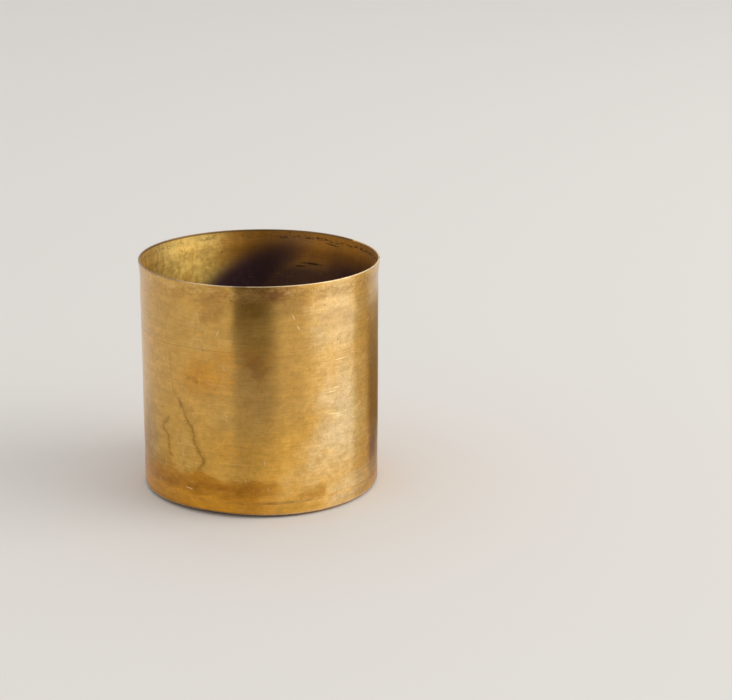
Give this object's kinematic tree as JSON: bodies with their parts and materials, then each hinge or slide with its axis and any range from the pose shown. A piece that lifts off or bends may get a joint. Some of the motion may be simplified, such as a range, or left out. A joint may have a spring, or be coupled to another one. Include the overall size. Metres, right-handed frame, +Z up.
{
  "type": "planter pot",
  "caption": "Cylindrical brass planter pot with a thin flared lip, a brazed vertical seam and a pressed base with rounded corner, open at the top to hold a plant.",
  "frame": {"origin": "centre of the bottom, on the floor the pot stands on and on the pot's axis", "axes": "+Z up along the pot's axis, towards the open top; +Y away from the viewer of the front, +X to the viewer's right; the side seam is at the back right, 38.5 degrees from +X towards +Y"},
  "size_m": [0.1424, 0.1424, 0.138],
  "materials": {
    "aged_brass": "satin brushed around the axis, unlacquered and tarnished to a mottled golden brown",
    "braze_metal": "filed flush, slightly paler and duller than the sheet"
  },
  "bodies": {
    "root": {"side_wall": "aged_brass", "base_pan": "aged_brass", "side_seam_braze": "braze_metal", "base_seam_braze": "braze_metal"}
  },
  "joints": []
}
